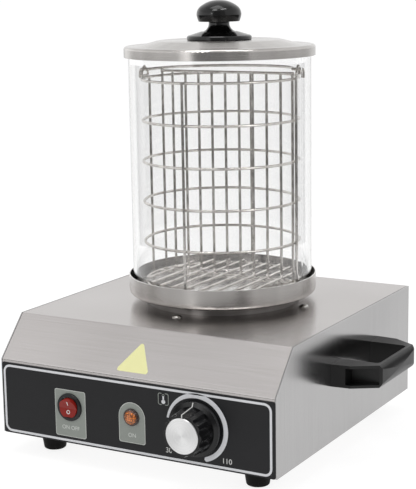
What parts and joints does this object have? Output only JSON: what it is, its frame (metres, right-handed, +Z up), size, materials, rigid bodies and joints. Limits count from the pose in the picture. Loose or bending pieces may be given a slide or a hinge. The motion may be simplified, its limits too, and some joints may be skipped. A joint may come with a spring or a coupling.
{
  "type": "hot dog steamer",
  "caption": "Countertop sausage warmer: sheet steel box with control panel, round water pan, glass tower, lidded, with a wire basket that lifts out by its bail.",
  "frame": {"origin": "on the table under the middle of the whole outline, from the dial's face to the cable gland and from handle to handle", "axes": "+X to the user's right, +Y to the back, away from the controls, +Z up"},
  "size_m": [0.3662, 0.3252, 0.4055],
  "materials": {
    "housing_steel": "stainless steel sheet, fine straight brushing",
    "spun_steel": "spun stainless steel, circular brushing",
    "basket_wire": "stainless steel wire, drawn and electropolished",
    "panel_film": "black polycarbonate panel film, satin",
    "black_moulding": "black moulded plastic, fine texture",
    "knob_phenolic": "black phenolic, polished",
    "dial_plastic": "black ABS, semi-gloss",
    "switch_black": "black nylon, semi-gloss",
    "rocker_red": "red translucent polycarbonate",
    "lens_amber": "amber polycarbonate, faceted",
    "cap_aluminium": "spun aluminium, radial brushing",
    "foot_rubber": "black rubber",
    "tower_glass": "clear borosilicate glass",
    "zinc_steel": "zinc-plated steel",
    "cast_aluminium": "machined aluminium plate",
    "element_sheath": "heat-tinted steel sheath",
    "bright_screw": "polished stainless steel",
    "brass": "plain brass",
    "copper": "plain copper",
    "block_plastic": "cream polyamide",
    "thermostat_case": "glass-filled plastic"
  },
  "bodies": {
    "housing": {"front_top_shell": "housing_steel", "right_side_panel": "housing_steel", "left_side_panel": "housing_steel", "back_panel": "housing_steel", "base_plate": "housing_steel", "feet": "foot_rubber", "right_carry_handle": "black_moulding", "left_carry_handle": "black_moulding", "control_panel": "panel_film", "switch_housing": "switch_black", "switch_terminals": "brass", "lamp_lens": "lens_amber", "lamp_body": "block_plastic", "lamp_nut": "switch_black", "thermostat_body": "thermostat_case", "bush_nut": "zinc_steel", "thermostat_bulb": "copper", "thermostat_capillary": "copper", "water_pan": "spun_steel", "heater_collar": "spun_steel", "hot_plate": "cast_aluminium", "heating_element": "element_sheath", "clamp_bar": "zinc_steel", "clamp_nut": "zinc_steel", "pan_screws": "bright_screw", "pan_screw_nuts": "zinc_steel", "case_screws": "bright_screw", "foot_screws": "zinc_steel", "foot_nuts": "zinc_steel", "handle_screws": "zinc_steel", "cable_gland": "switch_black", "gland_nut": "switch_black", "earth_stud": "brass", "earth_nut": "brass", "terminal_block": "block_plastic", "terminal_screws": "brass"},
    "glass": {"glass_cylinder": "tower_glass"},
    "lid": {"lid_pan": "spun_steel", "lid_knob": "knob_phenolic", "lid_screw": "bright_screw"},
    "basket": {"basket_rings": "basket_wire", "basket_uprights": "basket_wire", "basket_divider": "basket_wire", "basket_floor": "basket_wire", "basket_ears": "basket_wire"},
    "bail": {"basket_bail": "basket_wire"},
    "rocker": {"switch_rocker": "rocker_red"},
    "dial": {"dial_knob": "dial_plastic", "dial_cap": "cap_aluminium", "thermostat_shaft": "zinc_steel"}
  },
  "joints": [
    {"name": "glass_lift", "type": "slide", "parent": "housing", "child": "glass", "axis": [0, 0, 1], "range_m": [0, 0.24]},
    {"name": "lid_lift", "type": "slide", "parent": "glass", "child": "lid", "axis": [0, 0, 1], "range_m": [0, 0.36]},
    {"name": "basket_lift", "type": "slide", "parent": "housing", "child": "basket", "axis": [0, 0, 1], "range_m": [0, 0.255]},
    {"name": "bail_swing", "type": "hinge", "parent": "basket", "child": "bail", "pos_m": [0, 0.02835, 0.34225], "axis": [0.9563, 0.2924, 0], "range_deg": [0, 92]},
    {"name": "rocker_tilt", "type": "hinge", "parent": "housing", "child": "rocker", "pos_m": [-0.065, -0.13695, 0.0532], "axis": [1, 0, 0], "range_deg": [-16, 0]},
    {"name": "dial_turn", "type": "hinge", "parent": "housing", "child": "dial", "pos_m": [0.065, -0.13695, 0.0532], "axis": [0, -1, 0], "range_deg": [-135, 135]}
  ],
  "couplings": [
    {"joint": "basket_lift", "follows": "lid_lift", "ratio": 0.7},
    {"joint": "bail_swing", "follows": "lid_lift", "rad_per_m": 4.3633}
  ]
}
